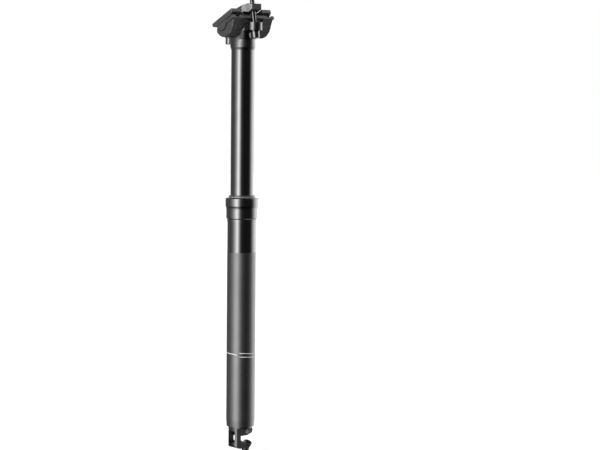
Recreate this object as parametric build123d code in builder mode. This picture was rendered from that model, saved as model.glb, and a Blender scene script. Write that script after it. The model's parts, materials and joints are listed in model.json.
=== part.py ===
from build123d import *
from math import cos, sin, sqrt, radians
import os

# Dropper seatpost, drawn upright: +Z runs up the post, +Y points to the front wheel, +X to the
# rider's right. The origin lies on the post's axis at the underside of the collar, where the
# post meets the rim of the frame's seat tube. It stands at its full height.

# overall sizes of the post
post_diameter = 31.6
post_wall = 1.4
tube_step = 6.2
stanchion_wall = 2.0
travel = 150.0
overlap_length = 45.0
foot_room = 24.7
tail_length = 7.6
tail_drop = 0.6
drop_gap = 9.1
head_rise = 29.4
clamp_pitch = 26.0

# clearances between pieces
running_clearance = 0.05
seat_clearance = 0.02
joint_clearance = 0.1
open_clearance = 0.3
cut_overrun = 1.0

post_radius = post_diameter / 2
post_bore = post_radius - post_wall
stanchion_radius = (post_diameter - tube_step) / 2
stanchion_bore = stanchion_radius - stanchion_wall
insertion_length = overlap_length + travel + foot_room
tail_end = -(insertion_length + tail_length)

# outer tube: thread spigot under the collar, slim tail, long keyways inside
spigot_step = 0.5
spigot_radius = post_radius - spigot_step
spigot_length = 16.0
key_count = 3
key_bite = 0.65
key_gap = 4.0
key_rise = 6.0
key_circle_radius = (stanchion_radius + post_bore) / 2
key_radius = (post_bore - stanchion_radius) / 2 + key_bite
edge_chamfer = 0.4

# collar: threaded cap with a plain skirt that swells to a round shoulder
collar_height = 26.0
collar_lip_height = 2.6
collar_step_height = 3.6
collar_lip_step = 0.35
collar_skirt_step = 1.35
collar_shoulder_step = 2.3
collar_shoulder_drop = 9.0
collar_skirt_drop = 14.0
collar_waist_depth = 0.2
collar_corner_radius = 1.3
seal_pocket_step = 0.8
collar_lip_radius = post_radius + collar_lip_step
collar_skirt_radius = post_radius + collar_skirt_step
collar_shoulder_radius = post_radius + collar_shoulder_step
collar_shoulder_height = collar_height - collar_shoulder_drop
collar_skirt_height = collar_height - collar_skirt_drop
seal_pocket_radius = spigot_radius - seal_pocket_step

# rings that seal and guide the sliding tube
flange_thickness = 1.2
upper_bushing_depth = 8.0
bushing_slit = 1.2
foam_height = 3.0
wiper_neck_step = 0.9
wiper_flange_step = 1.9
wiper_lip_step = 0.5
wiper_neck_height = 1.3
wiper_flange_height = 1.1
wiper_lip_height = 0.5
garter_wire_radius = 0.6
garter_rise = 0.65
wiper_neck_radius = stanchion_radius + wiper_neck_step
wiper_flange_radius = stanchion_radius + wiper_flange_step
wiper_lip_radius = stanchion_radius + wiper_lip_step
wiper_flange_bottom = collar_height + wiper_neck_height
wiper_flange_top = wiper_flange_bottom + wiper_flange_height
wiper_top = wiper_flange_top + wiper_lip_height
garter_height = collar_height + garter_rise
lower_bushing_height = 7.0
lower_bushing_depth = 0.8
key_length = overlap_length - lower_bushing_height - key_rise - upper_bushing_depth - key_gap

exposed_length = wiper_top + travel + drop_gap
tilt_axis_height = exposed_length + head_rise


def ring(outer, inner, bottom, top):
    """A plain round ring or tube about the post's axis, added to the open part."""
    with BuildSketch(Plane.XY.offset(bottom)) as section:
        Circle(outer)
        Circle(inner, mode=Mode.SUBTRACT)
    extrude(section.sketch, amount=top - bottom)


def turned(points, about=Plane.XY, mode=Mode.ADD):
    """A turned shape about a plane's normal from its half section, joined to the open part."""
    half = Plane(origin=about.origin, x_dir=about.x_dir, z_dir=about.x_dir.cross(about.z_dir))
    with BuildSketch(half) as section:
        with BuildLine():
            Polyline(*points, close=True)
        make_face()
    revolve(section.sketch, axis=Axis(about.origin, about.z_dir), mode=mode)


# outer tube
keyway_radius = key_radius + running_clearance
with BuildPart() as outer_tube:
    turned([
        (post_bore, tail_end),
        (post_radius - tail_drop, tail_end),
        (post_radius, -insertion_length),
        (post_radius, 0),
        (spigot_radius, 0),
        (spigot_radius, spigot_length),
        (post_bore, spigot_length),
    ])
    with BuildSketch(Plane.XY.offset(tail_end)):
        with PolarLocations(key_circle_radius, key_count):
            Circle(keyway_radius)
    extrude(amount=spigot_length - tail_end, mode=Mode.SUBTRACT)
outer_tube.part.label = "outer_tube"

# collar
flange_top = spigot_length + flange_thickness
collar_bore = spigot_radius + running_clearance
with BuildPart() as collar:
    with BuildSketch(Plane.XZ):
        with BuildLine():
            Polyline(
                (collar_bore, 0),
                (collar_lip_radius, 0),
                (collar_lip_radius, collar_lip_height),
                (collar_skirt_radius, collar_step_height),
                (collar_skirt_radius, collar_skirt_height),
            )
            waist_middle = (collar_skirt_height + collar_shoulder_height) / 2
            slope_middle = (collar_skirt_radius + collar_shoulder_radius) / 2
            ThreePointArc(
                (collar_skirt_radius, collar_skirt_height),
                (slope_middle - collar_waist_depth, waist_middle),
                (collar_shoulder_radius, collar_shoulder_height),
            )
            Line(
                (collar_shoulder_radius, collar_shoulder_height),
                (collar_shoulder_radius, collar_height - collar_corner_radius),
            )
            RadiusArc(
                (collar_shoulder_radius, collar_height - collar_corner_radius),
                (collar_shoulder_radius - collar_corner_radius, collar_height),
                -collar_corner_radius,
            )
            Polyline(
                (collar_shoulder_radius - collar_corner_radius, collar_height),
                (seal_pocket_radius, collar_height),
                (seal_pocket_radius, flange_top + seat_clearance),
                (collar_bore, flange_top + seat_clearance),
                (collar_bore, 0),
            )
        make_face()
    revolve(axis=Axis.Z)
collar.part.label = "collar"

# flanged bushing in the mouth of the outer tube, slit so that it can be sprung in
bushing_bore = stanchion_radius + running_clearance
with BuildPart() as upper_bushing:
    ring(post_bore - seat_clearance, bushing_bore, -upper_bushing_depth, spigot_length)
    ring(spigot_radius, bushing_bore, spigot_length, flange_top)
    slit_height = flange_top + upper_bushing_depth
    with BuildSketch(Plane.XY.offset(-upper_bushing_depth)):
        with Locations((0, (bushing_bore + spigot_radius) / 2)):
            Rectangle(bushing_slit, spigot_radius)
    extrude(amount=slit_height, mode=Mode.SUBTRACT)
upper_bushing.part.label = "upper_bushing"

# foam ring that holds grease above the bushing
foam_bottom = flange_top + seat_clearance
foam_top = foam_bottom + foam_height
with BuildPart() as foam_ring:
    ring(seal_pocket_radius - seat_clearance, bushing_bore, foam_bottom, foam_top)
foam_ring.part.label = "foam_ring"

# wiper seal with its outer lip above the collar
with BuildPart() as wiper_seal:
    turned([
        (bushing_bore, foam_top),
        (seal_pocket_radius - seat_clearance, foam_top),
        (seal_pocket_radius - seat_clearance, collar_height - edge_chamfer),
        (wiper_neck_radius, collar_height),
        (wiper_neck_radius, wiper_flange_bottom),
        (wiper_flange_radius, wiper_flange_bottom),
        (wiper_flange_radius, wiper_flange_top),
        (wiper_lip_radius, wiper_top),
        (bushing_bore, wiper_top),
    ])
wiper_seal.part.label = "wiper_seal"

# wire ring that squeezes the wiper's neck
garter_radius = wiper_neck_radius + garter_wire_radius + seat_clearance
with BuildPart() as wiper_spring:
    with BuildSketch(Plane.XZ):
        with Locations((garter_radius, garter_height)):
            Circle(garter_wire_radius)
    revolve(axis=Axis.Z)
wiper_spring.part.label = "wiper_spring"

# sliding inner tube, with pockets for the guide keys and a groove for its lower bushing
key_bottom = -overlap_length + lower_bushing_height + key_rise
pocket_radius = key_radius + seat_clearance
glide_groove_radius = stanchion_radius - lower_bushing_depth
with BuildPart() as stanchion:
    ring(stanchion_radius, stanchion_bore, -overlap_length, exposed_length)
    with BuildSketch(Plane.XY.offset(key_bottom - seat_clearance)):
        with PolarLocations(key_circle_radius, key_count):
            Circle(pocket_radius)
    extrude(amount=key_length + seat_clearance + seat_clearance, mode=Mode.SUBTRACT)
    with BuildSketch(Plane.XY.offset(-overlap_length)):
        Circle(stanchion_radius)
        Circle(glide_groove_radius, mode=Mode.SUBTRACT)
    extrude(amount=lower_bushing_height, mode=Mode.SUBTRACT)
stanchion.part.label = "stanchion"

# lower bushing that rides in the outer tube
with BuildPart() as lower_bushing:
    glide_top = -overlap_length + lower_bushing_height - seat_clearance
    ring(post_bore - running_clearance, glide_groove_radius + seat_clearance, -overlap_length, glide_top)
lower_bushing.part.label = "lower_bushing"

# brass keys that stop the post from turning
with BuildPart() as guide_keys:
    with BuildSketch(Plane.XY.offset(key_bottom)):
        with PolarLocations(key_circle_radius, key_count):
            Circle(key_radius)
    extrude(amount=key_length)
guide_keys.part.label = "guide_keys"

# head: forged top with a cradle for the clamp's drum and a lug for each bolt
head_spigot_length = 22.0
head_spigot_bore = 6.0
neck_bead_height = 3.0
neck_bead_step = 0.6
neck_bead_reach = 14.2
neck_flare_height = 11.0
neck_flare_width = 13.1
neck_flare_reach = 15.6
neck_flare_shift = 1.0
cradle_half_width = 13.0
cradle_root_drop = 8.5
cradle_front_wall = 2.5
cradle_rear_wall = 1.5
cradle_front_drop = 10.9
cradle_corner_radius = 8.0
drum_radius = 16.0
rear_bolt_lean = 3.7
rear_lug_radius = 8.2
rear_lug_top = 0.2
rear_lug_bottom = -8.2
front_lug_radius = 6.4
front_lug_bottom = -14.0
lug_hole_radius = 3.5
bolt_shank_radius = 2.5

# barrel nuts in the clamp's beam, in the clamp's own pitched frame
nut_reach = 22.2
nut_height = 7.4
nut_radius = 3.8
nut_half_length = 6.7
nut_hole_radius = 2.85

# dished washers under the bolt heads
washer_sphere_radius = 7.0
washer_radius = 5.2
washer_rim = 0.7
seat_depth = 1.2
bolt_head_radius = 4.6
bolt_head_height = 7.2
bolt_socket_radius = 2.6
bolt_socket_sides = 6
bolt_socket_depth = 4.0
bolt_tip_gap = 8.6
front_tip_gap = 10.5
bolt_chamfer = 0.6

pitch_cos = cos(radians(clamp_pitch))
pitch_sin = sin(radians(clamp_pitch))
tilt_point = Vector(0, 0, tilt_axis_height)
clamp_side = Plane(origin=tilt_point, x_dir=(0, pitch_cos, -pitch_sin), z_dir=(1, 0, 0))
clamp_cross = Plane(origin=tilt_point, x_dir=(1, 0, 0), z_dir=(0, -pitch_cos, pitch_sin))
clamp_plan = Plane(origin=tilt_point, x_dir=(1, 0, 0), z_dir=(0, pitch_sin, pitch_cos))
head_side = Plane(origin=tilt_point, x_dir=(0, 1, 0), z_dir=(1, 0, 0))


def in_clamp(forward, up):
    """A point of the clamp's pitched middle plane, in the post's own frame."""
    return clamp_side.from_local_coords(Vector(forward, up, 0))


rear_nut_point = in_clamp(-nut_reach, nut_height)
front_nut_point = in_clamp(nut_reach, nut_height)
rear_lug_reach = rear_bolt_lean - rear_nut_point.Y
front_lug_reach = front_nut_point.Y
rear_seat = tilt_point + Vector(0, -rear_lug_reach, rear_lug_bottom + seat_depth)
front_seat = tilt_point + Vector(0, front_lug_reach, front_lug_bottom + seat_depth)
rear_up = (rear_nut_point - rear_seat).normalized()
front_up = (front_nut_point - front_seat).normalized()
rear_bolt_plane = Plane(origin=rear_seat, x_dir=(1, 0, 0), z_dir=rear_up)
front_bolt_plane = Plane(origin=front_seat, x_dir=(1, 0, 0), z_dir=front_up)
rear_pivot = rear_seat - rear_up * washer_sphere_radius
front_pivot = front_seat - front_up * washer_sphere_radius

with BuildPart() as head:
    ring(stanchion_bore - seat_clearance, head_spigot_bore, exposed_length - head_spigot_length, exposed_length)
    with BuildSketch(Plane.XY.offset(exposed_length)):
        Circle(stanchion_radius)
    with BuildSketch(Plane.XY.offset(exposed_length + neck_bead_height)):
        Ellipse(stanchion_radius + neck_bead_step, neck_bead_reach)
    loft()
    with BuildSketch(Plane.XY.offset(exposed_length + neck_bead_height)):
        Ellipse(stanchion_radius + neck_bead_step, neck_bead_reach)
    with BuildSketch(Plane.XY.offset(exposed_length + neck_flare_height)):
        with Locations((0, neck_flare_shift)):
            Ellipse(neck_flare_width, neck_flare_reach)
    loft()
    cradle_root = tilt_axis_height - cradle_root_drop
    cradle_length = drum_radius * 2 + cradle_front_wall + cradle_rear_wall
    cradle_middle = (cradle_front_wall - cradle_rear_wall) / 2
    with BuildSketch(Plane.XY.offset(exposed_length + neck_flare_height)):
        with Locations((0, neck_flare_shift)):
            Ellipse(neck_flare_width, neck_flare_reach)
    with BuildSketch(Plane.XY.offset(cradle_root)):
        with Locations((0, cradle_middle)):
            RectangleRounded(cradle_half_width * 2, cradle_length, cradle_corner_radius)
    loft()
    with BuildSketch(Plane.XY.offset(cradle_root)):
        with Locations((0, cradle_middle)):
            RectangleRounded(cradle_half_width * 2, cradle_length, cradle_corner_radius)
    extrude(amount=cradle_root_drop + rear_lug_top)
    lug_foot = tilt_axis_height + rear_lug_bottom
    with BuildSketch(Plane.XY.offset(lug_foot)):
        with Locations((0, -rear_lug_reach)):
            Circle(rear_lug_radius)
        with Locations((0, -rear_lug_reach / 2)):
            Rectangle(rear_lug_radius * 2, rear_lug_reach)
    extrude(amount=rear_lug_top - rear_lug_bottom)
    with BuildSketch(Plane.XY.offset(tilt_axis_height + front_lug_bottom)):
        with Locations((0, front_lug_reach)):
            Circle(front_lug_radius)
        with Locations((0, front_lug_reach / 2)):
            Rectangle(front_lug_radius * 2, front_lug_reach)
    extrude(amount=-front_lug_bottom - cradle_front_drop)
    with BuildSketch(head_side):
        Circle(drum_radius + running_clearance)
    extrude(amount=cradle_half_width + cut_overrun, both=True, mode=Mode.SUBTRACT)
    with BuildSketch(head_side):
        front_edge = front_lug_reach + front_lug_radius + cut_overrun
        top_edge = rear_lug_top + cut_overrun
        Polygon(
            (0, -cradle_front_drop),
            (front_edge, -cradle_front_drop),
            (front_edge, top_edge),
            (0, top_edge),
            align=None,
        )
    extrude(amount=cradle_half_width + cut_overrun, both=True, mode=Mode.SUBTRACT)
    for plane, tall in ((rear_bolt_plane, rear_lug_top - rear_lug_bottom), (front_bolt_plane, seat_depth)):
        with BuildSketch(plane.offset(-seat_depth - cut_overrun)):
            Circle(lug_hole_radius)
        extrude(amount=tall + drum_radius, mode=Mode.SUBTRACT)
    with Locations(rear_pivot, front_pivot):
        Sphere(washer_sphere_radius + joint_clearance, mode=Mode.SUBTRACT)
head.part.label = "head"

# lower clamp: half drum that turns in the cradle, with a rail groove along each side, and a recess
# in each end for the upper clamp's tongue
rail_diameter = 7.0
rail_spacing = 44.0
rail_radius = rail_diameter / 2
rail_offset = rail_spacing / 2
parting_gap = 1.2
drum_half_width = 27.4
drum_front_flat = 11.1
drum_end_chamfer = 0.8
lip_overhang = 3.4
lip_height = 4.0
lip_half_width = 28.6
slope_share = 0.8
bolt_notch_half_width = 3.7
bolt_notch_inset = 7.2
tongue_inner = 25.9
tongue_outer = 28.0
tongue_rear = -7.0
tongue_front = 11.6
tongue_low_point = 4.0
tongue_drop = 7.4
tongue_rear_bulge = 3.6
tongue_front_bulge = 9.4
tongue_side_drop = 4.6
tongue_clearance = 0.9


def tongue_outline(grow):
    """The round tab that hangs outside each rail, drawn on the open sketch and grown by a gap."""
    with BuildLine() as outline:
        Line((tongue_front, parting), (tongue_rear, parting))
        ThreePointArc(
            (tongue_rear, parting),
            (-tongue_rear_bulge, -tongue_side_drop),
            (tongue_low_point, -tongue_drop),
        )
        ThreePointArc(
            (tongue_low_point, -tongue_drop),
            (tongue_front_bulge, -tongue_side_drop),
            (tongue_front, parting),
        )
    make_face(outline.edges())
    if grow > 0:
        offset(amount=grow)


parting = parting_gap / 2
lip_reach = drum_radius + lip_overhang
bolt_notch_start = nut_reach - bolt_notch_inset
slope_reach = drum_radius * slope_share
slope_drop = sqrt(drum_radius ** 2 - slope_reach ** 2)
with BuildPart() as lower_clamp:
    with BuildSketch(clamp_side):
        Circle(drum_radius)
        Rectangle(drum_radius * 2 + cut_overrun, drum_radius, align=(Align.CENTER, Align.MIN), mode=Mode.SUBTRACT)
        with Locations((0, -parting)):
            Rectangle(drum_radius * 2 + cut_overrun, parting, align=(Align.CENTER, Align.MIN), mode=Mode.SUBTRACT)
    extrude(amount=drum_half_width, both=True)
    round_edges = lower_clamp.edges().filter_by(GeomType.CIRCLE)
    chamfer(round_edges, length=drum_end_chamfer)
    slope_inner = cradle_half_width + open_clearance
    slope_outer = drum_half_width - drum_end_chamfer
    for side in (clamp_side.offset(slope_inner), clamp_side.offset(-slope_outer)):
        with BuildSketch(side):
            Polygon(
                (0, -parting),
                (-lip_reach, -parting),
                (-lip_reach, -lip_height),
                (-slope_reach, -slope_drop),
                (0, -slope_drop),
                align=None,
            )
        extrude(amount=slope_outer - slope_inner)
    with BuildSketch(clamp_side):
        Polygon(
            (0, -parting),
            (-lip_reach, -parting),
            (-lip_reach, -lip_height),
            (0, -lip_height),
            align=None,
        )
    extrude(amount=lip_half_width, both=True)
    for side in (clamp_side.offset(slope_inner), clamp_side.offset(-lip_half_width)):
        with BuildSketch(Plane(origin=side.origin, x_dir=(0, 1, 0), z_dir=(1, 0, 0))):
            with Locations((drum_front_flat, 0)):
                Rectangle(drum_radius, drum_radius * 2, align=(Align.MIN, Align.CENTER))
        extrude(amount=lip_half_width - slope_inner, mode=Mode.SUBTRACT)
    recess_inner = tongue_inner - tongue_clearance
    for side in (clamp_side.offset(recess_inner), clamp_side.offset(-lip_half_width)):
        with BuildSketch(side):
            tongue_outline(tongue_clearance)
        extrude(amount=lip_half_width - recess_inner, mode=Mode.SUBTRACT)
    with BuildSketch(clamp_cross):
        with Locations((rail_offset, 0), (-rail_offset, 0)):
            Circle(rail_radius)
    extrude(amount=lip_reach + cut_overrun, both=True, mode=Mode.SUBTRACT)
    with BuildSketch(clamp_plan.offset(-drum_radius)):
        with Locations((0, -bolt_notch_start)):
            Rectangle(bolt_notch_half_width * 2, lip_reach, align=(Align.CENTER, Align.MAX))
    extrude(amount=drum_radius, mode=Mode.SUBTRACT)
lower_clamp.part.label = "lower_clamp"

# upper clamp: arched beam over the bolts, with a jaw and a tongue outside each rail
beam_half_width = 7.0
beam_crown = 16.0
beam_shoulder_height = 12.2
beam_front_overhang = 6.0
beam_rear_overhang = 8.0
beam_rear_slant = 1.8
beam_end_top = 9.0
beam_rear_top = 7.9
beam_end_bottom = 2.4
beam_under_inset = 2.2
beam_under_crown = 8.6
beam_front_reach = nut_reach + beam_front_overhang
beam_rear_reach = nut_reach + beam_rear_overhang
beam_rear_foot = nut_reach + nut_radius + beam_rear_slant
beam_under_reach = nut_reach - beam_under_inset
jaw_half_length = 18.5
jaw_height = 7.3
jaw_flare_start = 13.6
jaw_flare_height = 3.6
jaw_inner = 15.0
web_half_length = 11.0
web_bottom = 2.0
beam_hole_radius = 3.5
beam_chamfer = 0.9
jaw_chamfer = 0.7

with BuildPart() as upper_clamp:
    with BuildSketch(clamp_side):
        with BuildLine():
            ThreePointArc(
                (-nut_reach, beam_shoulder_height),
                (0, beam_crown),
                (nut_reach, beam_shoulder_height),
            )
            Polyline(
                (nut_reach, beam_shoulder_height),
                (beam_front_reach, beam_end_top),
                (beam_front_reach, beam_end_bottom + nut_radius),
                (nut_reach + nut_radius, beam_end_bottom),
                (beam_under_reach, beam_end_bottom),
            )
            ThreePointArc(
                (beam_under_reach, beam_end_bottom),
                (0, beam_under_crown),
                (-beam_under_reach, beam_end_bottom),
            )
            Polyline(
                (-beam_under_reach, beam_end_bottom),
                (-beam_rear_foot, beam_end_bottom),
                (-beam_rear_reach, beam_rear_top),
                (-nut_reach, beam_shoulder_height),
            )
        make_face()
    extrude(amount=beam_half_width, both=True)
    beam_sides = upper_clamp.faces().sort_by(Axis.X)
    chamfer(beam_sides[0].edges() + beam_sides[-1].edges(), length=beam_chamfer)
    with BuildSketch(clamp_side):
        Polygon(
            (-web_half_length, web_bottom),
            (web_half_length, web_bottom),
            (web_half_length, beam_shoulder_height),
            (-web_half_length, beam_shoulder_height),
            align=None,
        )
    extrude(amount=beam_half_width, both=True)
    with BuildSketch(clamp_side):
        Polygon(
            (-web_half_length, web_bottom),
            (web_half_length, web_bottom),
            (web_half_length, jaw_height),
            (-web_half_length, jaw_height),
            align=None,
        )
    extrude(amount=jaw_inner + cut_overrun, both=True)
    for side in (clamp_side.offset(jaw_inner), clamp_side.offset(-tongue_outer)):
        with BuildSketch(side):
            Polygon(
                (-jaw_half_length, jaw_height),
                (-jaw_half_length, jaw_flare_height),
                (-jaw_flare_start, parting),
                (jaw_flare_start, parting),
                (jaw_half_length, jaw_flare_height),
                (jaw_half_length, jaw_height),
                align=None,
            )
        extrude(amount=tongue_outer - jaw_inner)
    jaw_ends = upper_clamp.faces().sort_by(Axis.X)
    for end in (jaw_ends[0], jaw_ends[-1]):
        chamfer(end.edges(), length=jaw_chamfer)
    for side in (clamp_side.offset(tongue_inner), clamp_side.offset(-tongue_outer)):
        with BuildSketch(side):
            tongue_outline(0)
        extrude(amount=tongue_outer - tongue_inner)
    with BuildSketch(clamp_cross):
        with Locations((rail_offset, 0), (-rail_offset, 0)):
            Circle(rail_radius)
    extrude(amount=jaw_half_length + cut_overrun, both=True, mode=Mode.SUBTRACT)
    with BuildSketch(clamp_side):
        with Locations((nut_reach, nut_height), (-nut_reach, nut_height)):
            Circle(nut_radius + running_clearance)
    extrude(amount=beam_half_width + cut_overrun, both=True, mode=Mode.SUBTRACT)
    for plane, nut_point in ((rear_bolt_plane, rear_nut_point), (front_bolt_plane, front_nut_point)):
        across = Plane(origin=nut_point, x_dir=(1, 0, 0), z_dir=plane.z_dir)
        with BuildSketch(across):
            Circle(beam_hole_radius)
        extrude(amount=drum_radius, both=True, mode=Mode.SUBTRACT)
upper_clamp.part.label = "upper_clamp"

# clamp bolts, washers and barrel nuts, each pair on its own leaning line
washer_dome = washer_sphere_radius - sqrt(washer_sphere_radius ** 2 - washer_radius ** 2)
washer_thickness = washer_dome + washer_rim


def dished_washer(seat_plane, pivot):
    """A washer whose domed top turns in the lug, with a plain hole for the bolt."""
    with BuildPart() as washer:
        with BuildSketch(seat_plane.offset(-washer_thickness)):
            Circle(washer_radius)
            Circle(bolt_shank_radius + seat_clearance, mode=Mode.SUBTRACT)
        extrude(amount=washer_thickness)
        with Locations(pivot):
            Sphere(washer_sphere_radius, mode=Mode.INTERSECT)
    return washer.part


def clamp_bolt(seat_plane, shank_length):
    """A cap screw that comes up from below, with a six-sided key socket in its head."""
    with BuildPart() as bolt:
        with BuildSketch(seat_plane.offset(-washer_thickness - bolt_head_height)):
            Circle(bolt_head_radius)
        extrude(amount=bolt_head_height)
        chamfer(bolt.edges().filter_by(GeomType.CIRCLE), length=bolt_chamfer)
        with BuildSketch(seat_plane.offset(-washer_thickness)):
            Circle(bolt_shank_radius)
        extrude(amount=washer_thickness + shank_length)
        with BuildSketch(seat_plane.offset(-washer_thickness - bolt_head_height)):
            RegularPolygon(bolt_socket_radius, bolt_socket_sides)
        extrude(amount=bolt_socket_depth, mode=Mode.SUBTRACT)
    return bolt.part


def barrel_nut(seat_plane, nut_point):
    """A cross barrel with the bolt's hole through its middle."""
    with BuildPart() as nut:
        with BuildSketch(Plane(origin=nut_point, x_dir=(0, 1, 0), z_dir=(1, 0, 0))):
            Circle(nut_radius)
        extrude(amount=nut_half_length, both=True)
        with BuildSketch(Plane(origin=nut_point, x_dir=(1, 0, 0), z_dir=seat_plane.z_dir)):
            Circle(nut_hole_radius)
        extrude(amount=nut_radius + cut_overrun, both=True, mode=Mode.SUBTRACT)
    return nut.part


rear_shank = (rear_nut_point - rear_seat).length + bolt_tip_gap
front_shank = (front_nut_point - front_seat).length + front_tip_gap
rear_bolt_washer = dished_washer(rear_bolt_plane, rear_pivot)
rear_bolt_washer.label = "rear_bolt_washer"
front_bolt_washer = dished_washer(front_bolt_plane, front_pivot)
front_bolt_washer.label = "front_bolt_washer"
rear_clamp_bolt = clamp_bolt(rear_bolt_plane, rear_shank)
rear_clamp_bolt.label = "rear_clamp_bolt"
front_clamp_bolt = clamp_bolt(front_bolt_plane, front_shank)
front_clamp_bolt.label = "front_clamp_bolt"
rear_barrel_nut = barrel_nut(rear_bolt_plane, rear_nut_point)
rear_barrel_nut.label = "rear_barrel_nut"
front_barrel_nut = barrel_nut(front_bolt_plane, front_nut_point)
front_barrel_nut.label = "front_barrel_nut"

# gas spring cartridge inside the sliding tube
cartridge_gap = 1.7
cartridge_wall = 1.2
cap_plug_height = 6.0
cap_stud_height = 12.0
guide_height = 9.0
piston_height = 9.0
piston_gap = 2.0
rod_radius = 4.0
rod_bore = 1.4
rod_tip = 4.0
float_gap = 1.5
float_height = 10.0
circlip_height = 1.2
circlip_depth = 0.6
circlip_width = 1.4
circlip_setback = 1.0
circlip_opening = 3.0
centring_height = 5.0

cartridge_radius = stanchion_bore - cartridge_gap
cartridge_bore = cartridge_radius - cartridge_wall
cartridge_bottom = -overlap_length
cap_top = exposed_length - head_spigot_length
circlip_bottom = cartridge_bottom + circlip_setback
guide_bottom = circlip_bottom + circlip_height
guide_top = guide_bottom + guide_height
piston_bottom = guide_top + piston_gap
piston_top = piston_bottom + piston_height
rod_top = piston_top + rod_tip
rod_share = (rod_radius / cartridge_bore) ** 2
float_bottom = rod_top + travel * (1 - rod_share) + float_gap
cartridge_top = rod_top + travel + float_gap * 2 + float_height + cap_plug_height
circlip_outer = cartridge_bore + circlip_depth

with BuildPart() as cartridge_body:
    ring(cartridge_radius, cartridge_bore, cartridge_bottom, cartridge_top)
    with BuildSketch(Plane.XY.offset(circlip_bottom)):
        Circle(circlip_outer + seat_clearance)
        Circle(cartridge_bore, mode=Mode.SUBTRACT)
    extrude(amount=circlip_height, mode=Mode.SUBTRACT)
cartridge_body.part.label = "cartridge_body"

with BuildPart() as cartridge_cap:
    with BuildSketch(Plane.XY.offset(cartridge_top - cap_plug_height)):
        Circle(cartridge_bore - seat_clearance)
    extrude(amount=cap_plug_height)
    with BuildSketch(Plane.XY.offset(cartridge_top)):
        Circle(cartridge_radius)
    extrude(amount=cap_top - cartridge_top)
    with BuildSketch(Plane.XY.offset(cap_top)):
        Circle(head_spigot_bore - seat_clearance)
    extrude(amount=cap_stud_height)
cartridge_cap.part.label = "cartridge_cap"

with BuildPart() as rod_guide:
    ring(cartridge_bore - seat_clearance, rod_radius + running_clearance, guide_bottom, guide_top)
rod_guide.part.label = "rod_guide"

with BuildPart() as guide_circlip:
    ring(circlip_outer, cartridge_bore - circlip_width, circlip_bottom, guide_bottom)
    with BuildSketch(Plane.XY.offset(circlip_bottom)):
        with Locations((cartridge_bore, 0)):
            Rectangle(cartridge_radius, circlip_opening)
    extrude(amount=circlip_height, mode=Mode.SUBTRACT)
guide_circlip.part.label = "guide_circlip"

with BuildPart() as piston:
    ring(cartridge_bore - running_clearance, rod_radius + seat_clearance, piston_bottom, piston_top)
piston.part.label = "piston"

with BuildPart() as floating_piston:
    with BuildSketch(Plane.XY.offset(float_bottom)):
        Circle(cartridge_bore - running_clearance)
    extrude(amount=float_height)
floating_piston.part.label = "floating_piston"

# base of the post: threaded plug, hooked bracket, pull lever and release pin
plug_height = 12.0
bracket_step = 2.6
bracket_top_thickness = 1.9
bracket_half_depth = 7.6
bracket_wall_reach = 5.2
bracket_floor_top = -17.6
bracket_floor_bottom = -24.6
bracket_floor_reach = 2.6
bracket_arm_half_depth = 4.0
bracket_arm_top = -22.4
bracket_arm_bottom = -28.0
bracket_outer_bend = 7.5
bracket_inner_bend = 2.5
window_half_width = 5.2
window_top = -5.0
window_bottom = -18.6
cheek_drop = 11.0
fork_half_width = 3.8
fork_start = -8.0
stop_reach = 9.4
stop_shift = -1.6
stop_drop = 19.4
stop_lean = 26.0
stop_rim_radius = 4.8
stop_rim_height = 2.0
stop_taper_height = 7.0
stop_body_radius = 3.6
stop_length = 14.0
funnel_radius = 3.9
funnel_depth = 3.0
ferrule_radius = 2.55
ferrule_depth = 9.0
inner_wire_radius = 0.9
lever_pivot_reach = 5.2
lever_pivot_drop = 6.8
lever_drum_radius = 4.0
lever_half_width = 3.5
cheek_thickness = 2.0
pivot_pin_radius = 1.5
pivot_head_radius = 2.5
pivot_head_height = 0.9
nose_radius = 1.6
nose_drop = 6.0
lever_arm_reach = 11.0
lever_arm_drop = 6.0
lever_eye_radius = 3.8
barrel_radius = 2.6
wire_slot_half_width = 1.1
grub_radius = 1.2
grub_length = 1.8
release_pin_radius = 1.1
bumper_gap = 0.5
bumper_radius = 8.0
bumper_bore = 4.4

bracket_radius = post_radius - bracket_step
plug_top = tail_end + plug_height
bracket_base = tail_end - bracket_top_thickness
cheek_gap = lever_half_width + joint_clearance
foot_side = Plane(origin=(0, 0, tail_end), x_dir=(1, 0, 0), z_dir=(0, -1, 0))
stop_plane = Plane(
    origin=(stop_reach, stop_shift, tail_end - stop_drop),
    x_dir=(1, 0, 0),
    z_dir=(0, -sin(radians(stop_lean)), cos(radians(stop_lean))),
)

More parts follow.
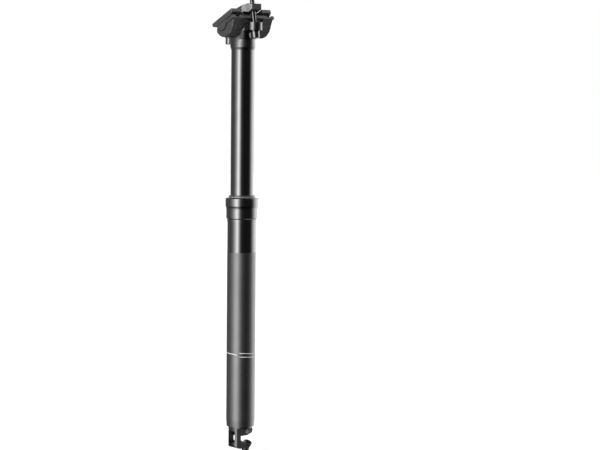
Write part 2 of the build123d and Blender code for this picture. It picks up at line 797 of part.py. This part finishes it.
with BuildPart() as base_bracket:
    with BuildSketch(foot_side) as hook:
        Polygon(
            (-bracket_wall_reach, -bracket_top_thickness),
            (-bracket_radius, -bracket_top_thickness),
            (-bracket_radius, bracket_floor_bottom),
            (bracket_floor_reach, bracket_floor_bottom),
            (bracket_floor_reach, bracket_floor_top),
            (-bracket_wall_reach, bracket_floor_top),
            align=None,
        )
        outer_corner = hook.vertices().sort_by_distance((-bracket_radius, bracket_floor_bottom))[0]
        fillet(outer_corner, radius=bracket_outer_bend)
        inner_corner = hook.vertices().sort_by_distance((-bracket_wall_reach, bracket_floor_top))[0]
        fillet(inner_corner, radius=bracket_inner_bend)
    extrude(amount=bracket_half_depth, both=True)
    with BuildSketch(foot_side):
        Polygon(
            (0, bracket_floor_top),
            (0, bracket_floor_bottom),
            (bracket_floor_reach, bracket_floor_bottom),
            (stop_reach, bracket_arm_bottom),
            (stop_reach, bracket_arm_top),
            (bracket_floor_reach, bracket_floor_top),
            align=None,
        )
    extrude(amount=bracket_arm_half_depth, both=True)
    with BuildSketch(Plane.YZ.offset(-post_radius)):
        with Locations((0, tail_end + window_top)):
            Rectangle(
                window_half_width * 2,
                window_top - window_bottom,
                align=(Align.CENTER, Align.MAX),
            )
    extrude(amount=post_radius, mode=Mode.SUBTRACT)
    with BuildSketch(foot_side):
        Polygon(
            (fork_start, bracket_floor_top + cut_overrun),
            (fork_start, bracket_floor_bottom - cut_overrun),
            (0, bracket_floor_bottom - cut_overrun),
            (0, bracket_floor_top + cut_overrun),
            align=None,
        )
    extrude(amount=fork_half_width, both=True, mode=Mode.SUBTRACT)
    for depth in (cheek_gap, -cheek_gap - cheek_thickness):
        with BuildSketch(foot_side.offset(depth)):
            with Locations((lever_pivot_reach, -lever_pivot_drop)):
                Circle(lever_drum_radius)
            Polygon(
                (-bracket_wall_reach, -bracket_top_thickness),
                (-bracket_wall_reach, -cheek_drop),
                (lever_pivot_reach, -lever_pivot_drop - lever_drum_radius),
                (lever_pivot_reach + lever_drum_radius, -lever_pivot_drop),
                (lever_pivot_reach + lever_drum_radius, -bracket_top_thickness),
                align=None,
            )
        extrude(amount=cheek_thickness)
    with BuildSketch(Plane.XY.offset(tail_end + bracket_arm_bottom)):
        Circle(post_diameter)
        Circle(bracket_radius, mode=Mode.SUBTRACT)
    extrude(amount=-bracket_arm_bottom, mode=Mode.SUBTRACT)
    turned([
        (0, 0),
        (stop_rim_radius, 0),
        (stop_rim_radius, -stop_rim_height),
        (stop_body_radius, -stop_taper_height),
        (stop_body_radius, -stop_length),
        (0, -stop_length),
    ], about=stop_plane)
    turned([
        (0, 0),
        (funnel_radius, 0),
        (inner_wire_radius, -funnel_depth),
        (inner_wire_radius, ferrule_depth - stop_length),
        (ferrule_radius, ferrule_depth - stop_length),
        (ferrule_radius, -stop_length),
        (0, -stop_length),
    ], about=stop_plane, mode=Mode.SUBTRACT)
    ring(post_bore - seat_clearance, rod_radius + seat_clearance, tail_end, plug_top)
    ring(bracket_radius, release_pin_radius + joint_clearance, bracket_base, tail_end)
    with BuildSketch(foot_side):
        with Locations((lever_pivot_reach, -lever_pivot_drop)):
            Circle(pivot_pin_radius + seat_clearance)
    extrude(amount=post_radius, both=True, mode=Mode.SUBTRACT)
base_bracket.part.label = "base_bracket"

with BuildPart() as actuator_lever:
    with BuildSketch(foot_side):
        with Locations((lever_pivot_reach, -lever_pivot_drop)):
            Circle(lever_drum_radius)
        with Locations((lever_arm_reach, -lever_arm_drop)):
            Circle(lever_eye_radius)
        make_hull()
        with Locations((0, -nose_drop)):
            Circle(nose_radius)
        Polygon(
            (0, -nose_drop + nose_radius),
            (0, -nose_drop - nose_radius),
            (lever_pivot_reach, -lever_pivot_drop - nose_radius),
            (lever_pivot_reach, -lever_pivot_drop + nose_radius),
            align=None,
        )
        with Locations((lever_pivot_reach, -lever_pivot_drop)):
            Circle(pivot_pin_radius + running_clearance, mode=Mode.SUBTRACT)
        with Locations((lever_arm_reach, -lever_arm_drop)):
            Circle(barrel_radius + running_clearance, mode=Mode.SUBTRACT)
    extrude(amount=lever_half_width, both=True)
    slot_start = lever_arm_reach - wire_slot_half_width
    with BuildSketch(foot_side):
        with Locations((slot_start, -lever_arm_drop)):
            Rectangle(post_radius, post_radius, align=(Align.MIN, Align.MAX))
    extrude(amount=wire_slot_half_width, both=True, mode=Mode.SUBTRACT)
actuator_lever.part.label = "actuator_lever"

pin_half_length = cheek_gap + cheek_thickness
with BuildPart() as lever_pin:
    with BuildSketch(foot_side):
        with Locations((lever_pivot_reach, -lever_pivot_drop)):
            Circle(pivot_pin_radius)
    extrude(amount=pin_half_length, both=True)
    with BuildSketch(foot_side.offset(pin_half_length)):
        with Locations((lever_pivot_reach, -lever_pivot_drop)):
            Circle(pivot_head_radius)
    extrude(amount=pivot_head_height)
lever_pin.part.label = "lever_pin"

with BuildPart() as cable_barrel:
    with BuildSketch(foot_side):
        with Locations((lever_arm_reach, -lever_arm_drop)):
            Circle(barrel_radius)
    extrude(amount=lever_half_width, both=True)
    with BuildSketch(Plane.XY.offset(tail_end - lever_arm_drop)):
        with Locations((lever_arm_reach, 0)):
            Circle(inner_wire_radius)
    extrude(amount=barrel_radius + cut_overrun, both=True, mode=Mode.SUBTRACT)
    with BuildSketch(foot_side.offset(lever_half_width - grub_length)):
        with Locations((lever_arm_reach, -lever_arm_drop)):
            Circle(grub_radius + seat_clearance)
    extrude(amount=grub_length, mode=Mode.SUBTRACT)
cable_barrel.part.label = "cable_barrel"

with BuildPart() as barrel_screw:
    with BuildSketch(foot_side.offset(lever_half_width - grub_length)):
        with Locations((lever_arm_reach, -lever_arm_drop)):
            Circle(grub_radius)
    extrude(amount=grub_length)
barrel_screw.part.label = "barrel_screw"

with BuildPart() as piston_rod:
    ring(rod_radius, rod_bore, tail_end, rod_top)
piston_rod.part.label = "piston_rod"

release_pin_foot = tail_end - nose_drop + nose_radius + joint_clearance
with BuildPart() as release_pin:
    with BuildSketch(Plane.XY.offset(release_pin_foot)):
        Circle(release_pin_radius)
    extrude(amount=piston_bottom - release_pin_foot)
release_pin.part.label = "release_pin"

bumper_top = -overlap_length - travel - bumper_gap
with BuildPart() as bottom_bumper:
    ring(bumper_radius, bumper_bore, plug_top, bumper_top)
bottom_bumper.part.label = "bottom_bumper"

centring_top = cartridge_bottom + centring_height
with BuildPart() as centring_ring:
    ring(stanchion_bore - seat_clearance, cartridge_radius + seat_clearance, cartridge_bottom, centring_top)
centring_ring.part.label = "centring_ring"

pieces = [
    outer_tube.part,
    collar.part,
    upper_bushing.part,
    foam_ring.part,
    wiper_seal.part,
    wiper_spring.part,
    stanchion.part,
    lower_bushing.part,
    guide_keys.part,
    head.part,
    lower_clamp.part,
    upper_clamp.part,
    rear_bolt_washer,
    front_bolt_washer,
    rear_clamp_bolt,
    front_clamp_bolt,
    rear_barrel_nut,
    front_barrel_nut,
    cartridge_body.part,
    cartridge_cap.part,
    rod_guide.part,
    guide_circlip.part,
    piston.part,
    floating_piston.part,
    base_bracket.part,
    actuator_lever.part,
    lever_pin.part,
    cable_barrel.part,
    barrel_screw.part,
    piston_rod.part,
    release_pin.part,
    bottom_bumper.part,
    centring_ring.part,
]
os.makedirs("parts", exist_ok=True)
for piece in pieces:
    export_step(piece, f"parts/{piece.label}.step")
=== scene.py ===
import bpy
import json
from math import atan2, cos, pi, radians, sin
from mathutils import Matrix, Vector


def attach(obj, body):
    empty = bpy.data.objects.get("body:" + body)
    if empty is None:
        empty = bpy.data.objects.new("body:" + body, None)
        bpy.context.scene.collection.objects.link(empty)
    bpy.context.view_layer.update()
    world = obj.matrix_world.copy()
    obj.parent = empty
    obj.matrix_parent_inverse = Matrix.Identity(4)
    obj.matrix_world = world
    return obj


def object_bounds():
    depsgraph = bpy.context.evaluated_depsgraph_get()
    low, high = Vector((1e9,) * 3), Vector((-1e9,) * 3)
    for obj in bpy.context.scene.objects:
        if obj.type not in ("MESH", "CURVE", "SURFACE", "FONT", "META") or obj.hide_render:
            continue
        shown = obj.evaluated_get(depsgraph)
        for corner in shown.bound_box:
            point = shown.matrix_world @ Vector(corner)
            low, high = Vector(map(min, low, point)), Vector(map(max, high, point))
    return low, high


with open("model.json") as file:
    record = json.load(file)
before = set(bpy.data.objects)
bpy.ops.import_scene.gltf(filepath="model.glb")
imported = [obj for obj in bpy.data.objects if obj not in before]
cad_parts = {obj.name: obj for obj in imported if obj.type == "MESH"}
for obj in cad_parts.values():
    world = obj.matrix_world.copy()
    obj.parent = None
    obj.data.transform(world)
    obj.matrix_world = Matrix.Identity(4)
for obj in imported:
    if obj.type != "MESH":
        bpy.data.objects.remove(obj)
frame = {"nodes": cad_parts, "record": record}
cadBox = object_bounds()
scene = bpy.context.scene
nodes = frame["nodes"]
mm = 0.001
print("frame loaded,", len(nodes), "nodes")

# the camera stands behind the post and to its left, a little lower than the clamp, and looks slightly down
cameraSet = {
    "azimuth": -39.0,
    "distance": 2.03,
    "eyeHeight": 0.135,
    "lens": 110.65,
    "sensorWidth": 36.0,
    "aimHeight": -0.0038,
    "aimRight": 0.0644,
    "roll": 0.51,
}


def placeCamera(values):
    turn = radians(values["azimuth"])
    away = Vector((sin(turn), -cos(turn), 0))
    right = Vector((cos(turn), sin(turn), 0))
    eye = away * values["distance"] + Vector((0, 0, values["eyeHeight"]))
    aim = right * values["aimRight"] + Vector((0, 0, values["aimHeight"]))
    data = bpy.data.cameras.new("camera")
    data.lens = values["lens"]
    data.sensor_width = values["sensorWidth"]
    camera = bpy.data.objects.new("camera", data)
    scene.collection.objects.link(camera)
    look = (aim - eye).to_track_quat("-Z", "Y").to_matrix().to_4x4()
    roll = Matrix.Rotation(radians(values["roll"]), 4, "Z")
    camera.matrix_world = Matrix.Translation(eye) @ look @ roll
    scene.camera = camera


placeCamera(cameraSet)
print("camera placed")


# maths on sockets, for shader trees and geometry trees alike
class Signal:
    def __init__(self, tree, socket):
        self.tree = tree
        self.socket = socket

    # settings come before values, because a node's inputs can depend on them
    def node(self, kind, settings=None, values=None, out=0):
        made = self.tree.nodes.new(kind)
        for name, value in (settings or {}).items():
            if name == "stops":
                ramp = made.color_ramp
                while len(ramp.elements) < len(value):
                    ramp.elements.new(0.5)
                for element, (place, level) in zip(ramp.elements, value):
                    element.position = place
                    element.color = grey(level)
            else:
                setattr(made, name, value)
        for name, value in (values or {}).items():
            if isinstance(value, Signal):
                self.tree.links.new(value.socket, made.inputs[name])
            else:
                made.inputs[name].default_value = value
        return Signal(self.tree, made.outputs[out])

    def maths(self, operation, first, second=0.0):
        return self.node("ShaderNodeMath", {"operation": operation}, {0: first, 1: second})

    def __add__(self, other):
        return self.maths("ADD", self, other)

    __radd__ = __add__

    def __sub__(self, other):
        return self.maths("SUBTRACT", self, other)

    def __rsub__(self, other):
        return self.maths("SUBTRACT", other, self)

    def __mul__(self, other):
        return self.maths("MULTIPLY", self, other)

    __rmul__ = __mul__

    def __truediv__(self, other):
        return self.maths("DIVIDE", self, other)

    def above(self, level):
        return self.maths("GREATER_THAN", self, level)

    def below(self, level):
        return self.maths("LESS_THAN", self, level)

    # a colour: the first where this signal is 0, the second where it is 1
    def mixed(self, first, second):
        return self.node("ShaderNodeMix", {"data_type": "RGBA"}, {0: self, 6: first, 7: second}, out=2)

    # another output of the same node
    def part(self, out):
        return Signal(self.tree, self.socket.node.outputs[out])


def grey(level):
    return (level, level, level, 1)


def startMaterial(name, constants):
    material = bpy.data.materials.new(name)
    material.use_nodes = True
    tree = material.node_tree
    shader = tree.nodes["Principled BSDF"]
    for socketName, value in constants.items():
        shader.inputs[socketName].default_value = value
    place = tree.nodes.new("ShaderNodeTexCoord").outputs["Object"]
    return material, shader, Signal(tree, place)


def feed(shader, socketName, signal):
    signal.tree.links.new(signal.socket, shader.inputs[socketName])


def noise(place, scale, detail, stretch=(1, 1, 1)):
    spread = place.node("ShaderNodeMapping", {}, {"Vector": place, "Scale": stretch})
    return place.node("ShaderNodeTexNoise", {}, {"Vector": spread, "Scale": scale, "Detail": detail})


def bump(height, strength, distance):
    values = {"Strength": strength, "Distance": distance, "Height": height}
    return height.node("ShaderNodeBump", {}, values)


# every finish has a fine grain of its own scale and these wide, faint clouds
pattern = {"grainDetail": 3.0, "cloudScale": 60.0, "cloudDetail": 2.0}

finishColumns = ("tone", "vary", "rough", "roughVary", "metal", "grain", "depth")
finishRows = {
    "satin_black_alloy": (0.093, 0.12, 0.46, 0.05, 1.0, 2600, 0.01 * mm),
    "gloss_black_alloy": (0.088, 0.12, 0.16, 0.04, 1.0, 900, 0.002 * mm),
    "polished_black_tube": (0.084, 0.12, 0.10, 0.03, 1.0, 500, 0.001 * mm),
    "forged_black_alloy": (0.076, 0.2, 0.28, 0.06, 1.0, 1800, 0.01 * mm),
    "clamp_grey_alloy": (0.055, 0.2, 0.24, 0.06, 0.35, 2400, 0.015 * mm),
    "bracket_alloy": (0.055, 0.2, 0.38, 0.06, 1.0, 1500, 0.01 * mm),
    "lever_alloy": (0.08, 0.2, 0.25, 0.06, 1.0, 1500, 0.01 * mm),
    "cartridge_alloy": (0.55, 0.05, 0.3, 0.05, 1.0, 1200, 0.005 * mm),
    "bolt_steel": (0.09, 0.15, 0.2, 0.08, 1.0, 1500, 0.01 * mm),
    "bright_steel": (0.2, 0.08, 0.28, 0.06, 0.15, 1500, 0.005 * mm),
    "chromed_rod": (0.75, 0.03, 0.08, 0.03, 1.0, 900, 0.002 * mm),
    "brass": ((0.72, 0.50, 0.20), 0.08, 0.3, 0.06, 1.0, 1500, 0.005 * mm),
    "bearing_plastic": (0.10, 0.1, 0.5, 0.05, 0.0, 1500, 0.01 * mm),
    "seal_rubber": (0.055, 0.2, 0.28, 0.08, 0.0, 2500, 0.02 * mm),
    "foam": (0.08, 0.4, 0.9, 0.05, 0.0, 1500, 0.1 * mm),
}
finishes = {name: dict(zip(finishColumns, row)) for name, row in finishRows.items()}


def toneRange(look):
    tone, vary = look["tone"], look["vary"]
    if isinstance(tone, tuple):
        return tuple(channel * (1 - vary) for channel in tone) + (1,), tone + (1,)
    return grey(tone * (1 - vary)), grey(tone * (1 + vary))


def grainAndCloud(place, look):
    grain = noise(place, look["grain"], pattern["grainDetail"])
    cloud = noise(place, pattern["cloudScale"], pattern["cloudDetail"])
    return grain, cloud


def waver(signal, look):
    return (signal - 0.5) * look["roughVary"]


def plainFinish(name, look):
    material, shader, place = startMaterial(name, {"Metallic": look["metal"]})
    grain, cloud = grainAndCloud(place, look)
    feed(shader, "Base Color", cloud.mixed(*toneRange(look)))
    feed(shader, "Roughness", waver(grain, look) + waver(cloud, look) + look["rough"])
    feed(shader, "Normal", bump(grain, 1.0, look["depth"]))
    return material


# the outer tube's gloss band and its lowest-insertion marks; each mark is its height at the facing side,
# its rise in one radian to the right, and its two ends in degrees round the tube from the facing side
tubeMarks = {
    "bandBottom": -34.0 * mm,
    "bandTone": 0.08,
    "bandRough": 0.13,
    "facing": -39.0,
    "marks": (
        (-146.8 * mm, -1.3 * mm, -76, -16),
        (-144.7 * mm, -0.9 * mm, -5, 60),
        (-148.7 * mm, -0.9 * mm, -5, 60),
    ),
    "markHalf": 0.35 * mm,
    "markTone": 0.7,
}


def outerTubeFinish(look, marks):
    material, shader, place = startMaterial("outer_tube_finish", {"Metallic": look["metal"]})
    grain, cloud = grainAndCloud(place, look)
    apart = place.node("ShaderNodeSeparateXYZ", {}, {0: place})
    side, depth, height = apart, apart.part(1), apart.part(2)
    band = height.above(marks["bandBottom"])
    tone = band.mixed(cloud.mixed(*toneRange(look)), grey(marks["bandTone"]))
    rough = waver(grain, look) + look["rough"] + band * (marks["bandRough"] - look["rough"])
    facing = radians(marks["facing"])
    toRight = side * cos(facing) + depth * sin(facing)
    toFacing = side * sin(facing) - depth * cos(facing)
    turn = toRight.maths("ARCTAN2", toRight, toFacing)
    ink = None
    for level, slope, start, end in marks["marks"]:
        offset = height - turn * slope - level
        line = offset.above(-marks["markHalf"]) * offset.below(marks["markHalf"])
        line = line * turn.above(radians(start)) * turn.below(radians(end))
        ink = line if ink is None else ink + line
    feed(shader, "Base Color", ink.mixed(tone, grey(marks["markTone"])))
    feed(shader, "Metallic", (1.0 - ink) * look["metal"])
    feed(shader, "Roughness", rough)
    feed(shader, "Normal", bump(grain, 1.0 - band, look["depth"]))
    return material


# the upper clamp's beam has a lighter, non-metal patch on both flanks round the rear nut; inner and outer
# bound the flank's distance from the middle plane, and the patch ends at the front
beamFlank = {
    "inner": 6.6 * mm,
    "outer": 7.3 * mm,
    "front": -6.0 * mm,
    "tone": 0.26,
    "toneVary": 0.2,
    "rough": 0.3,
    "grainLost": 0.7,
    "strokeScale": 500.0,
    "strokeDetail": 3.0,
    "strokeStretch": (1, 0.08, 1),
}


def upperClampFinish(look, flank):
    material, shader, place = startMaterial("upper_clamp_finish", {"Metallic": look["metal"]})
    grain, cloud = grainAndCloud(place, look)
    apart = place.node("ShaderNodeSeparateXYZ", {}, {0: place})
    across = apart.maths("ABSOLUTE", apart)
    cut = across.above(flank["inner"]) * across.below(flank["outer"])
    cut = cut * (apart.part(1) - flank["front"]).below(0.0)
    strokes = noise(place, flank["strokeScale"], flank["strokeDetail"], flank["strokeStretch"])
    low, high = flank["tone"] * (1 - flank["toneVary"]), flank["tone"] * (1 + flank["toneVary"])
    bright = strokes.mixed(grey(low), grey(high))
    feed(shader, "Base Color", cut.mixed(cloud.mixed(*toneRange(look)), bright))
    feed(shader, "Metallic", (1.0 - cut) * look["metal"])
    feed(shader, "Roughness", waver(grain, look) + look["rough"] + cut * (flank["rough"] - look["rough"]))
    feed(shader, "Normal", bump(grain, 1.0 - cut * flank["grainLost"], look["depth"]))
    return material


materials = {name: plainFinish(name, look) for name, look in finishes.items()}
ownFinishes = {
    "outer_tube": outerTubeFinish(finishes["satin_black_alloy"], tubeMarks),
    "upper_clamp": upperClampFinish(finishes["clamp_grey_alloy"], beamFlank),
}
slots = {row["node"]: row["material_slot"] for row in frame["record"]["subparts"]}
for name, cad in nodes.items():
    cad.data.materials.clear()
    cad.data.materials.append(ownFinishes[name] if name in ownFinishes else materials[slots[name]])
print("finishes made")

# the clamp's pitch and tilt axis and the bolts' lines, as the record's mounts and joints state them
record = frame["record"]
joints = {row["name"]: row for row in record["behaviour"]["joints"]}
railAxis = next(row for row in record["mounts"] if row["name"] == "left_rail")["axis"]
clampPitch = atan2(-railAxis[2], railAxis[1])
tiltAxis = Vector(joints["saddle_tilt"]["pos_m"])
rearNut = Vector(joints["rear_nut_turn"]["pos_m"])
frontNut = Vector(joints["front_nut_turn"]["pos_m"])
rearLine = (rearNut - Vector(joints["rear_bolt_swing"]["pos_m"])).normalized()
frontLine = Vector((0, 0, 1))


def startTree(name, inputs):
    tree = bpy.data.node_groups.new(name, "GeometryNodeTree")
    tree.interface.new_socket("Geometry", in_out="OUTPUT", socket_type="NodeSocketGeometry")
    for inputName, value in inputs.items():
        if isinstance(value, tuple):
            kind = "NodeSocketVector"
        elif isinstance(value, int):
            kind = "NodeSocketInt"
        else:
            kind = "NodeSocketFloat"
        tree.interface.new_socket(inputName, in_out="INPUT", socket_type=kind)
    entry = tree.nodes.new("NodeGroupInput")
    return tree, {inputName: Signal(tree, entry.outputs[inputName]) for inputName in inputs}


# ends the tree, turns its result into a plain mesh and lets it ride the body
def finishTree(name, tree, geometry, inputs, material, body):
    whole = geometry.node("GeometryNodeRealizeInstances", {}, {"Geometry": geometry})
    whole = whole.node("GeometryNodeSetMaterial", {}, {"Geometry": whole, "Material": material})
    leave = tree.nodes.new("NodeGroupOutput")
    tree.links.new(whole.socket, leave.inputs["Geometry"])
    piece = bpy.data.objects.new(name, bpy.data.meshes.new(name + "_start"))
    scene.collection.objects.link(piece)
    modifier = piece.modifiers.new("build", "NODES")
    modifier.node_group = tree
    for item in tree.interface.items_tree:
        if item.in_out == "INPUT":
            modifier[item.identifier] = inputs[item.name]
    graph = bpy.context.evaluated_depsgraph_get()
    mesh = bpy.data.meshes.new_from_object(piece.evaluated_get(graph), depsgraph=graph)
    piece.modifiers.remove(modifier)
    piece.data = mesh
    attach(piece, body)


# threads on the clamp bolts' upper ends: how far the tip stands over the nut's middle, and the length cut
boltThreads = {
    "rear_bolt_thread": {
        "body": "rear_bolt", "nut": rearNut, "line": rearLine, "tip": 8.0 * mm, "long": 24.0 * mm,
    },
    "front_bolt_thread": {
        "body": "upper_post", "nut": frontNut, "line": frontLine, "tip": 9.9 * mm, "long": 2.8 * mm,
    },
}
threadForm = {"shank": 2.5 * mm, "pitch": 0.8 * mm, "ridge": 0.24 * mm, "stepsPerTurn": 24, "ridgeSides": 4}


def makeThread(name, values, form):
    start = values["nut"] + values["line"] * (values["tip"] - values["long"])
    inputs = {
        "Turns": values["long"] / form["pitch"],
        "Length": values["long"],
        "Radius": form["shank"],
        "Ridge": form["ridge"],
        "Start": tuple(start),
        "Lean": (-atan2(values["line"].y, values["line"].z), 0.0, 0.0),
    }
    tree, given = startTree(name, inputs)
    spiralValues = {
        "Resolution": form["stepsPerTurn"],
        "Rotations": given["Turns"],
        "Start Radius": given["Radius"],
        "End Radius": given["Radius"],
        "Height": given["Length"],
    }
    spiral = given["Length"].node("GeometryNodeCurveSpiral", {}, spiralValues)
    sectionValues = {"Resolution": form["ridgeSides"], "Radius": given["Ridge"]}
    section = given["Length"].node("GeometryNodeCurvePrimitiveCircle", {}, sectionValues)
    ridgeValues = {"Curve": spiral, "Profile Curve": section, "Fill Caps": True}
    ridge = spiral.node("GeometryNodeCurveToMesh", {}, ridgeValues)
    seat = {"Geometry": ridge, "Translation": given["Start"], "Rotation": given["Lean"]}
    placed = ridge.node("GeometryNodeTransform", {}, seat)
    finishTree(name, tree, placed, inputs, materials["bolt_steel"], values["body"])


for threadName, threadValues in boltThreads.items():
    makeThread(threadName, threadValues, threadForm)
print("threads cut")

# square bars set on edge: teeth round the drum beside the cradle, stepped by an angle in radians, and
# fine ridges along the jaws' flat tops, stepped by a length; reach is measured down from the tilt axis
clampTeeth = {
    "drum_teeth": {
        "perSide": 40,
        "side": 20.1 * mm,
        "width": 12.0 * mm,
        "reach": 15.95 * mm,
        "start": -0.88,
        "step": 0.04,
        "along": 0.0,
        "size": 0.42 * mm,
    },
    "jaw_ridges": {
        "perSide": 34,
        "side": 21.6 * mm,
        "width": 11.0 * mm,
        "reach": -7.25 * mm,
        "start": 0.0,
        "step": 0.0,
        "along": 1.0 * mm,
        "size": 0.36 * mm,
    },
}


def makeTeeth(name, values):
    inputs = {
        "Count": values["perSide"] * 2,
        "Side": values["side"],
        "Width": values["width"],
        "Reach": values["reach"],
        "First angle": values["start"],
        "Angle step": values["step"],
        "Run step": values["along"],
        "Size": values["size"],
        "Axis": tuple(tiltAxis),
        "Pitch": (-clampPitch, 0.0, 0.0),
    }
    tree, given = startTree(name, inputs)
    index = given["Count"].node("GeometryNodeInputIndex")
    row = index.maths("FLOOR", index * 0.5)  # the two sides take turns, so each row has one tooth on each
    hand = index.maths("MODULO", index, 2.0) * 2.0 - 1.0
    turn = given["First angle"] + row * given["Angle step"]
    run = (row - (given["Count"] * 0.25 - 0.5)) * given["Run step"]
    forward = run + given["Reach"] * turn.maths("SINE", turn)
    down = given["Reach"] * turn.maths("COSINE", turn)
    spot = turn.node("ShaderNodeCombineXYZ", {}, {0: hand * given["Side"], 1: forward, 2: down * -1.0})
    points = spot.node("GeometryNodePoints", {}, {"Count": given["Count"], "Position": spot})
    sizes = {0: given["Width"], 1: given["Size"], 2: given["Size"]}
    bar = given["Size"].node("ShaderNodeCombineXYZ", {}, sizes)
    bar = bar.node("GeometryNodeMeshCube", {}, {"Size": bar})
    edge = turn.node("ShaderNodeCombineXYZ", {}, {0: turn + pi / 4})
    spread = {"Points": points, "Instance": bar, "Rotation": edge}
    teeth = points.node("GeometryNodeInstanceOnPoints", {}, spread)
    seat = {"Geometry": teeth, "Translation": given["Axis"], "Rotation": given["Pitch"]}
    placed = teeth.node("GeometryNodeTransform", {}, seat)
    finishTree(name, tree, placed, inputs, materials["clamp_grey_alloy"], "saddle_clamp")


for teethName, teethValues in clampTeeth.items():
    makeTeeth(teethName, teethValues)
print("clamp teeth cut")

# the camera sees a white room, and everything else sees soft boxes round the post; each stop gives the
# light's level at an angle in degrees from the camera, minus to the left; overhead and low are heights on
# a ball of radius 1; behind the post, again in degrees, metal mirrors the white room
studio = {
    "levelScale": 10.0,
    "levels": (
        (-180, 0.36), (-128, 0.38), (-95, 0.56), (-82, 0.9), (-65, 2.4), (-51, 5.4), (-41, 9.4),
        (-31, 9.0), (-22, 4.2), (-12, 1.0), (-2, 0.2), (18, 0.075), (70, 0.08), (84, 0.45),
        (96, 2.2), (108, 3.9), (132, 4.6), (158, 1.4), (180, 0.36),
    ),
    "overheadStart": 0.45,
    "overheadEnd": 0.85,
    "overheadShare": 0.25,
    "lowStart": -0.22,
    "lowEnd": -0.56,
    "lowShare": 0.2,
    "behindStart": 150.0,
    "behindEnd": 168.0,
}


# 1 up to the start, and the share from the end on
def fadeBetween(signal, start, end, share):
    return signal.node(
        "ShaderNodeMapRange",
        {"interpolation_type": "SMOOTHSTEP"},
        {"Value": signal, "From Min": start, "From Max": end, "To Min": 1.0, "To Max": share},
    )


def makeWorld(values):
    world = bpy.data.worlds.new("studio")
    scene.world = world
    world.use_nodes = True
    tree = world.node_tree
    ray = Signal(tree, tree.nodes.new("ShaderNodeLightPath").outputs["Is Camera Ray"])
    seen = ray.maths("MAXIMUM", ray, ray.part("Is Transmission Ray"))
    place = Signal(tree, tree.nodes.new("ShaderNodeTexCoord").outputs["Generated"])
    turnValues = {"Vector": place, "Angle": radians(-cameraSet["azimuth"])}
    turned = place.node("ShaderNodeVectorRotate", {"rotation_type": "Z_AXIS"}, turnValues)
    apart = turned.node("ShaderNodeSeparateXYZ", {}, {0: turned})
    angle = apart.maths("ARCTAN2", apart, apart.part(1) * -1.0)
    stops = [((degree + 180) / 360, level / values["levelScale"]) for degree, level in values["levels"]]
    ramp = angle.node("ShaderNodeValToRGB", {"stops": stops}, {0: angle / (2 * pi) + 0.5})
    high = apart.part(2)
    overhead = fadeBetween(high, values["overheadStart"], values["overheadEnd"], values["overheadShare"])
    below = fadeBetween(high, values["lowStart"], values["lowEnd"], values["lowShare"])
    light = ramp * overhead * below * values["levelScale"]
    swing = angle.maths("ABSOLUTE", angle)
    behind = fadeBetween(swing, radians(values["behindEnd"]), radians(values["behindStart"]), 0.0)
    mirrored = ray.part("Is Glossy Ray") * behind
    light = light + mirrored * (1.0 - light)
    strength = seen + (1.0 - seen) * light
    background = tree.nodes["Background"]
    background.inputs["Color"].default_value = (1, 1, 1, 1)
    tree.links.new(strength.socket, background.inputs["Strength"])


# a wide white sheet just under the foot, lit a little by itself for the camera alone
floorSheet = {
    "height": cadBox[0][2] - 0.4 * mm,
    "half": 6.0,
    "tone": 0.5,
    "toneVary": 0.02,
    "cloudScale": 3.0,
    "cloudDetail": 2.0,
    "rough": 0.8,
    "glow": 0.6,
}


def makeFloor(values):
    half = values["half"]
    mesh = bpy.data.meshes.new("floor")
    corners = [(-half, -half), (half, -half), (half, half), (-half, half)]
    mesh.from_pydata([(x, y, values["height"]) for x, y in corners], [], [(0, 1, 2, 3)])
    floor = bpy.data.objects.new("floor", mesh)
    scene.collection.objects.link(floor)
    constants = {"Roughness": values["rough"], "Emission Strength": 1.0}
    material, shader, place = startMaterial("floor_white", constants)
    tree = material.node_tree
    seen = Signal(tree, tree.nodes.new("ShaderNodeLightPath").outputs["Is Camera Ray"])
    cloud = noise(place, values["cloudScale"], values["cloudDetail"])
    tone = values["tone"]
    feed(shader, "Base Color", cloud.mixed(grey(tone * (1 - values["toneVary"])), grey(tone)))
    feed(shader, "Emission Color", seen.mixed(grey(0.0), grey(values["glow"])))
    mesh.materials.append(material)
    floor.visible_glossy = False


makeWorld(studio)
makeFloor(floorSheet)
scene.view_settings.view_transform = "Standard"
print("studio made")
